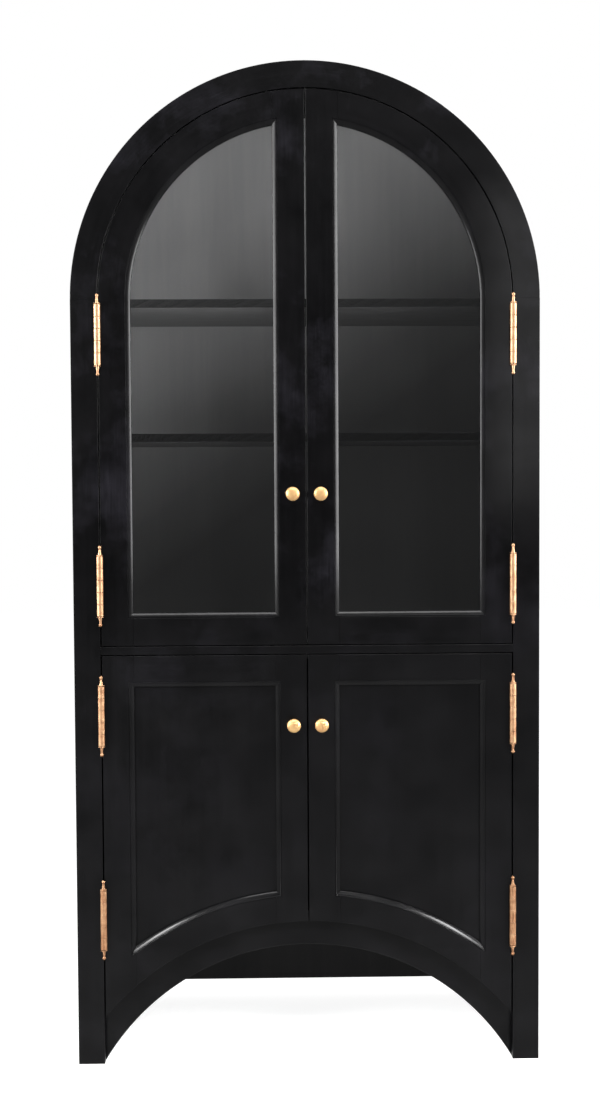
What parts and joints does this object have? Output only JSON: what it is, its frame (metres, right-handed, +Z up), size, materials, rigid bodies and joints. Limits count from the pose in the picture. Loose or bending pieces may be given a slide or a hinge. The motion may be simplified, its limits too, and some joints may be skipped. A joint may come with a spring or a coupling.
{
  "type": "curio cabinet",
  "caption": "Tall free-standing cabinet with a half-round top: glazed double doors over a closed cupboard with an arched base, brass butt hinges and round knobs.",
  "frame": {"origin": "middle of the bounding box, on the floor under the cabinet", "axes": "+Z up, doors face -Y, +X to the right seen from the front"},
  "size_m": [1.01, 0.4582, 2.17],
  "materials": {
    "black_wood": "hand-rubbed satin black lacquer over fine-grained wood",
    "inside_wood": "flat black stain",
    "glass": "clear window glass",
    "hinge_brass": "satin brass, slightly aged and coppery",
    "knob_brass": "polished light brass",
    "catch_plastic": "black moulded case"
  },
  "bodies": {
    "root": {"side_panel_left": "black_wood", "side_panel_right": "black_wood", "arch_top": "black_wood", "face_stile_left": "black_wood", "face_stile_right": "black_wood", "face_arch": "black_wood", "back_panel": "inside_wood", "deck_panel": "black_wood", "base_panel": "inside_wood", "base_apron": "black_wood", "display_shelf_upper": "inside_wood", "display_shelf_lower": "inside_wood", "display_catch": "catch_plastic", "cupboard_catch": "catch_plastic", "display_hinge_left_upper_frame_leaf": "hinge_brass", "display_hinge_left_upper_pin": "hinge_brass", "display_hinge_left_lower_frame_leaf": "hinge_brass", "display_hinge_left_lower_pin": "hinge_brass", "display_hinge_right_upper_frame_leaf": "hinge_brass", "display_hinge_right_upper_pin": "hinge_brass", "display_hinge_right_lower_frame_leaf": "hinge_brass", "display_hinge_right_lower_pin": "hinge_brass", "cupboard_hinge_left_upper_frame_leaf": "hinge_brass", "cupboard_hinge_left_upper_pin": "hinge_brass", "cupboard_hinge_left_lower_frame_leaf": "hinge_brass", "cupboard_hinge_left_lower_pin": "hinge_brass", "cupboard_hinge_right_upper_frame_leaf": "hinge_brass", "cupboard_hinge_right_upper_pin": "hinge_brass", "cupboard_hinge_right_lower_frame_leaf": "hinge_brass", "cupboard_hinge_right_lower_pin": "hinge_brass"},
    "display_door_left": {"display_door_left_arch_stile": "black_wood", "display_door_left_meeting_stile": "black_wood", "display_door_left_bottom_rail": "black_wood", "display_door_left_glass": "glass", "display_knob_left": "knob_brass", "display_hinge_left_upper_door_leaf": "hinge_brass", "display_hinge_left_lower_door_leaf": "hinge_brass"},
    "display_door_right": {"display_door_right_arch_stile": "black_wood", "display_door_right_meeting_stile": "black_wood", "display_door_right_bottom_rail": "black_wood", "display_door_right_glass": "glass", "display_knob_right": "knob_brass", "display_hinge_right_upper_door_leaf": "hinge_brass", "display_hinge_right_lower_door_leaf": "hinge_brass"},
    "cupboard_door_left": {"cupboard_door_left_hinge_stile": "black_wood", "cupboard_door_left_meeting_stile": "black_wood", "cupboard_door_left_top_rail": "black_wood", "cupboard_door_left_arched_rail": "black_wood", "cupboard_door_left_panel": "black_wood", "cupboard_knob_left": "knob_brass", "cupboard_hinge_left_upper_door_leaf": "hinge_brass", "cupboard_hinge_left_lower_door_leaf": "hinge_brass"},
    "cupboard_door_right": {"cupboard_door_right_hinge_stile": "black_wood", "cupboard_door_right_meeting_stile": "black_wood", "cupboard_door_right_top_rail": "black_wood", "cupboard_door_right_arched_rail": "black_wood", "cupboard_door_right_panel": "black_wood", "cupboard_knob_right": "knob_brass", "cupboard_hinge_right_upper_door_leaf": "hinge_brass", "cupboard_hinge_right_lower_door_leaf": "hinge_brass"}
  },
  "joints": [
    {"name": "display_door_left_swing", "type": "hinge", "parent": "root", "child": "display_door_left", "pos_m": [-0.4465, -0.2081, 1.318], "axis": [0, 0, -1], "range_deg": [0, 180]},
    {"name": "display_door_right_swing", "type": "hinge", "parent": "root", "child": "display_door_right", "pos_m": [0.4465, -0.2081, 1.318], "axis": [0, 0, 1], "range_deg": [0, 180]},
    {"name": "cupboard_door_left_swing", "type": "hinge", "parent": "root", "child": "cupboard_door_left", "pos_m": [-0.4465, -0.2081, 0.5425], "axis": [0, 0, -1], "range_deg": [0, 180]},
    {"name": "cupboard_door_right_swing", "type": "hinge", "parent": "root", "child": "cupboard_door_right", "pos_m": [0.4465, -0.2081, 0.5425], "axis": [0, 0, 1], "range_deg": [0, 180]}
  ]
}
